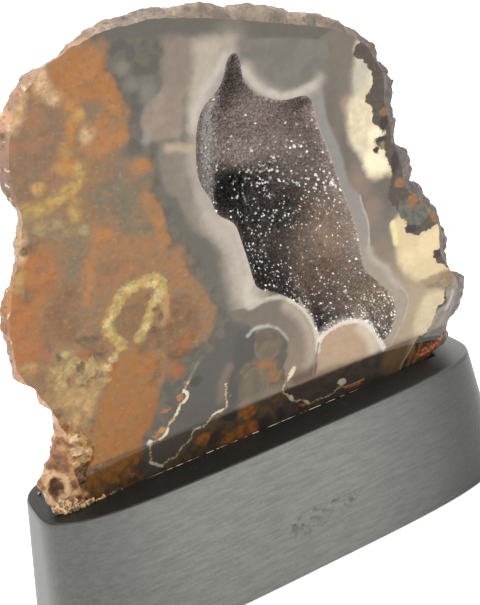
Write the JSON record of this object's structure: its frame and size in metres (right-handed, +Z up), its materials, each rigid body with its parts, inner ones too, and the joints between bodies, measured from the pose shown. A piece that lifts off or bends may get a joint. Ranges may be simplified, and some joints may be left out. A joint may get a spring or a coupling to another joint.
{
  "type": "agate geode on a wooden base",
  "caption": "Agate geode, sawn and polished on its front around a hollow lined with crystals, standing in the groove of a flared oval wooden base.",
  "frame": {"origin": "middle of the wooden base's underside", "axes": "+Z up, +X along the base, and the polished face looks along -Y, leaning a little forward"},
  "size_m": [0.1298, 0.0418, 0.138],
  "materials": {
    "agate": "polished front, rough skin behind, crystals in the hollow",
    "black_wood": "black paint, satin"
  },
  "bodies": {
    "root": {"agate_geode": "agate", "wooden_base": "black_wood"}
  },
  "joints": []
}
